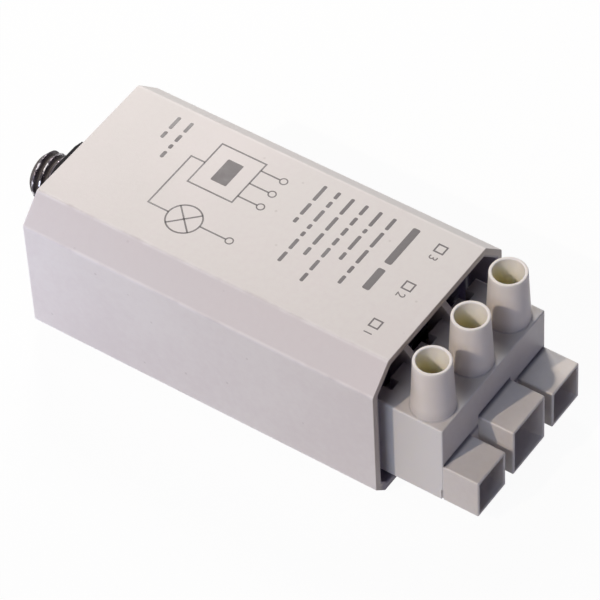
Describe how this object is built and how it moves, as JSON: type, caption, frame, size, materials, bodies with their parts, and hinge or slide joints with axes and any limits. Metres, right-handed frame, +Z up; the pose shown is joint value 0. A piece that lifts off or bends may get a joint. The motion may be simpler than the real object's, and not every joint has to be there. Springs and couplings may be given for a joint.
{
  "type": "lamp ignitor",
  "caption": "Rectangular lamp ignitor: pale moulded casing filled with resin, fixing stud with nut at the back, and a screw terminal block with driver towers and wire funnels at the front.",
  "frame": {"origin": "centre of the rear mounting face, on the axis of the fixing stud", "axes": "+X from the rear face to the terminals along the longest extent, +Y across, +Z up through the printed face; the stud points along -X"},
  "size_m": [0.088, 0.034, 0.028],
  "materials": {
    "casing_plastic": "fine-textured warm white moulded thermoplastic, satin",
    "block_plastic": "off-white moulded thermoplastic, satin",
    "stud_steel": "dark oiled steel, rolled thread",
    "fastener_steel": "blackened spring steel",
    "compound": "dark cast resin",
    "board_laminate": "tan hard-paper laminate",
    "ferrite": "sintered ferrite, dull",
    "bobbin_plastic": "black moulded thermoplastic",
    "winding_copper": "enamelled copper wire",
    "film_capacitor": "glossy moulded film capacitor",
    "resistor_body": "ceramic-coated resistor body",
    "diode_body": "black moulded epoxy",
    "contact_brass": "tin-plated brass",
    "clamp_steel": "zinc-plated steel"
  },
  "bodies": {
    "root": {"casing": "casing_plastic", "terminal_block": "block_plastic", "mounting_stud": "stud_steel", "lock_washer": "fastener_steel", "stud_nut": "fastener_steel", "potting_compound": "compound", "circuit_board": "board_laminate", "ferrite_core_rear": "ferrite", "ferrite_core_front": "ferrite", "coil_bobbin": "bobbin_plastic", "secondary_winding": "winding_copper", "primary_winding": "winding_copper", "pulse_capacitor": "film_capacitor", "bypass_capacitor": "film_capacitor", "charging_resistor": "resistor_body", "breakover_diode_1": "diode_body", "breakover_diode_2": "diode_body", "coil_lead_1": "winding_copper", "coil_lead_2": "winding_copper", "coil_lead_3": "winding_copper", "contact_bar_1": "contact_brass", "contact_bar_2": "contact_brass", "contact_bar_3": "contact_brass"},
    "screw_1": {"terminal_screw_1": "clamp_steel"},
    "cage_1": {"clamp_cage_1": "clamp_steel"},
    "screw_2": {"terminal_screw_2": "clamp_steel"},
    "cage_2": {"clamp_cage_2": "clamp_steel"},
    "screw_3": {"terminal_screw_3": "clamp_steel"},
    "cage_3": {"clamp_cage_3": "clamp_steel"}
  },
  "joints": [
    {"name": "screw_turn_1", "type": "hinge", "parent": "root", "child": "screw_1", "pos_m": [0.0681, -0.01, 0.003], "axis": [0, 0, -1], "range_deg": [0, 1800]},
    {"name": "cage_lift_1", "type": "slide", "parent": "root", "child": "cage_1", "axis": [0, 0, 1], "range_m": [0, 0.003]},
    {"name": "screw_turn_2", "type": "hinge", "parent": "root", "child": "screw_2", "pos_m": [0.0681, 0, 0.003], "axis": [0, 0, -1], "range_deg": [0, 1800]},
    {"name": "cage_lift_2", "type": "slide", "parent": "root", "child": "cage_2", "axis": [0, 0, 1], "range_m": [0, 0.003]},
    {"name": "screw_turn_3", "type": "hinge", "parent": "root", "child": "screw_3", "pos_m": [0.0681, 0.01, 0.003], "axis": [0, 0, -1], "range_deg": [0, 1800]},
    {"name": "cage_lift_3", "type": "slide", "parent": "root", "child": "cage_3", "axis": [0, 0, 1], "range_m": [0, 0.003]}
  ],
  "couplings": [
    {"joint": "screw_turn_1", "follows": "cage_lift_1", "rad_per_m": 10472},
    {"joint": "screw_turn_2", "follows": "cage_lift_2", "rad_per_m": 10472},
    {"joint": "screw_turn_3", "follows": "cage_lift_3", "rad_per_m": 10472}
  ]
}
